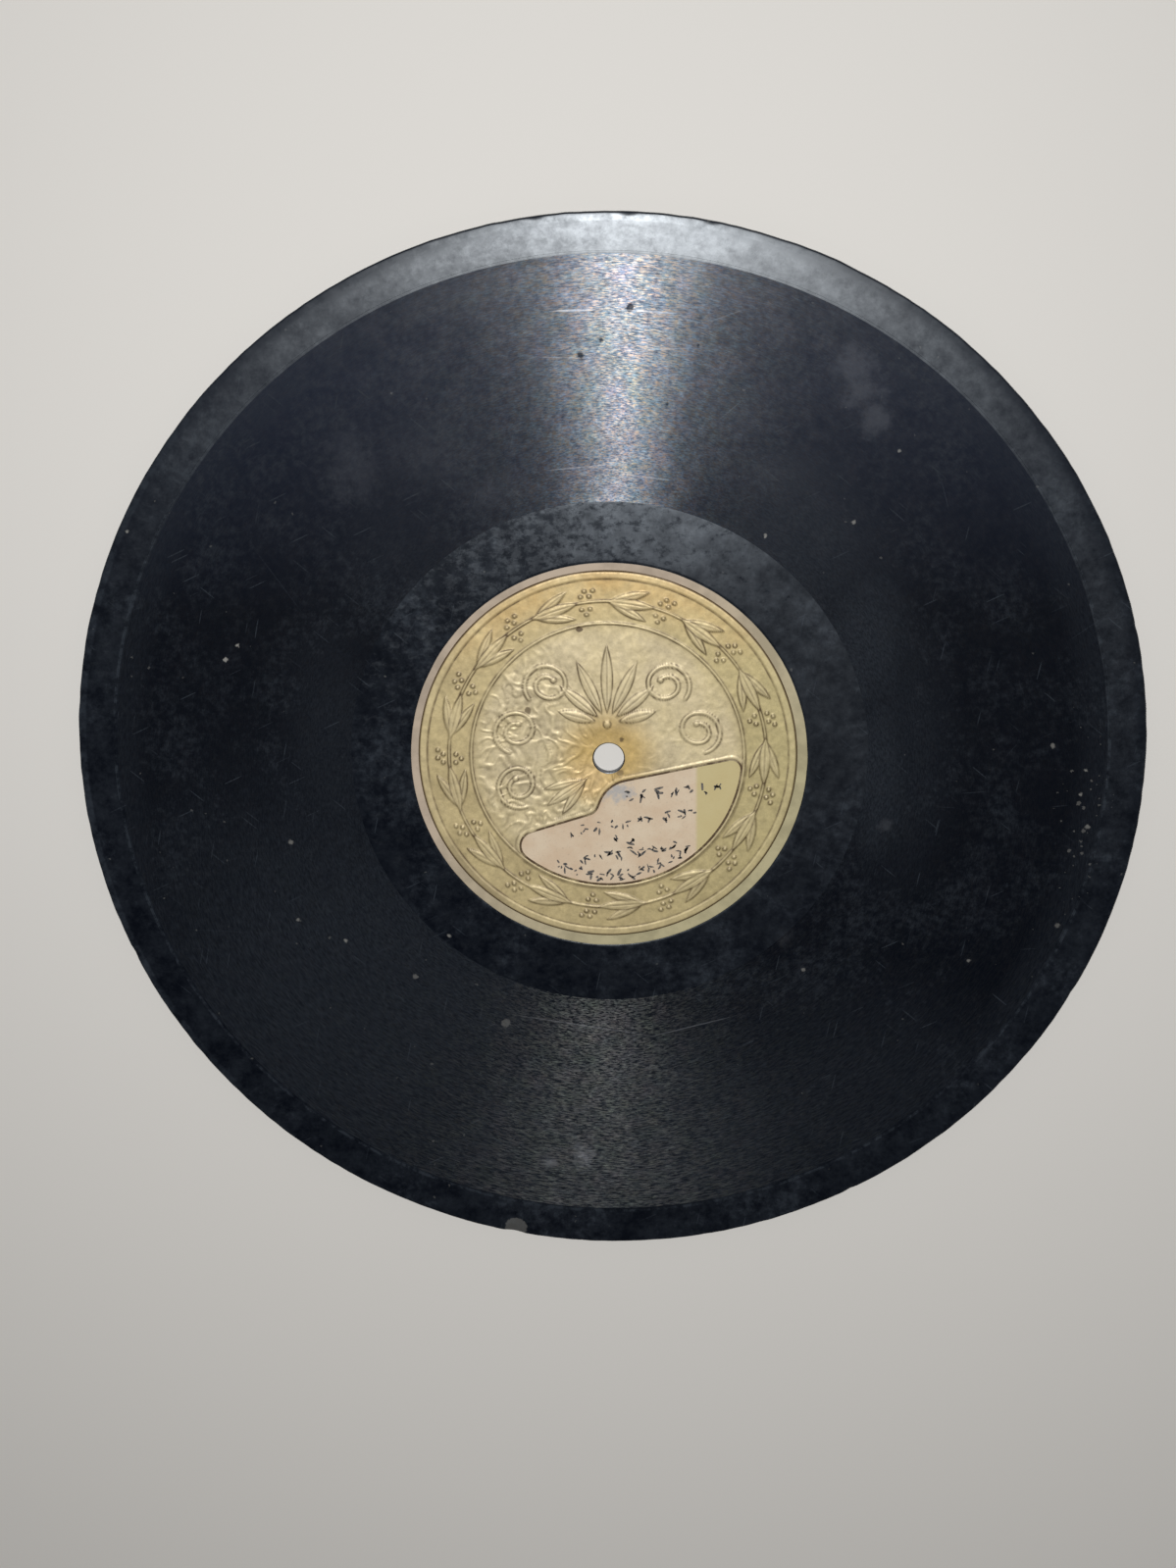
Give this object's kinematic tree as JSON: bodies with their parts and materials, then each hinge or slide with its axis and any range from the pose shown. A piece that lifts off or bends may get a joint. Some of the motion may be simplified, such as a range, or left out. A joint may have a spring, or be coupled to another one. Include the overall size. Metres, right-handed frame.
{
  "type": "shellac record",
  "caption": "Flat round single-faced shellac record with a spiral groove, a plain margin, a spindle hole and a paper label faced with embossed gilt foil.",
  "frame": {"origin": "centre of the spindle hole on the plain underside, which lies on the turntable", "axes": "+Z out of the recorded face along the spindle, +Y towards the top of the label, +X to the label's right"},
  "size_m": [0.254, 0.254, 0.0026],
  "materials": {
    "shellac": "pressed shellac, worn to a satin gloss",
    "label_paper": "uncoated cream paper, soiled",
    "gilt_foil": "embossed gilt, tarnished"
  },
  "bodies": {
    "root": {"record_disc": "shellac", "label_paper": "label_paper", "gold_foil": "gilt_foil"}
  },
  "joints": []
}
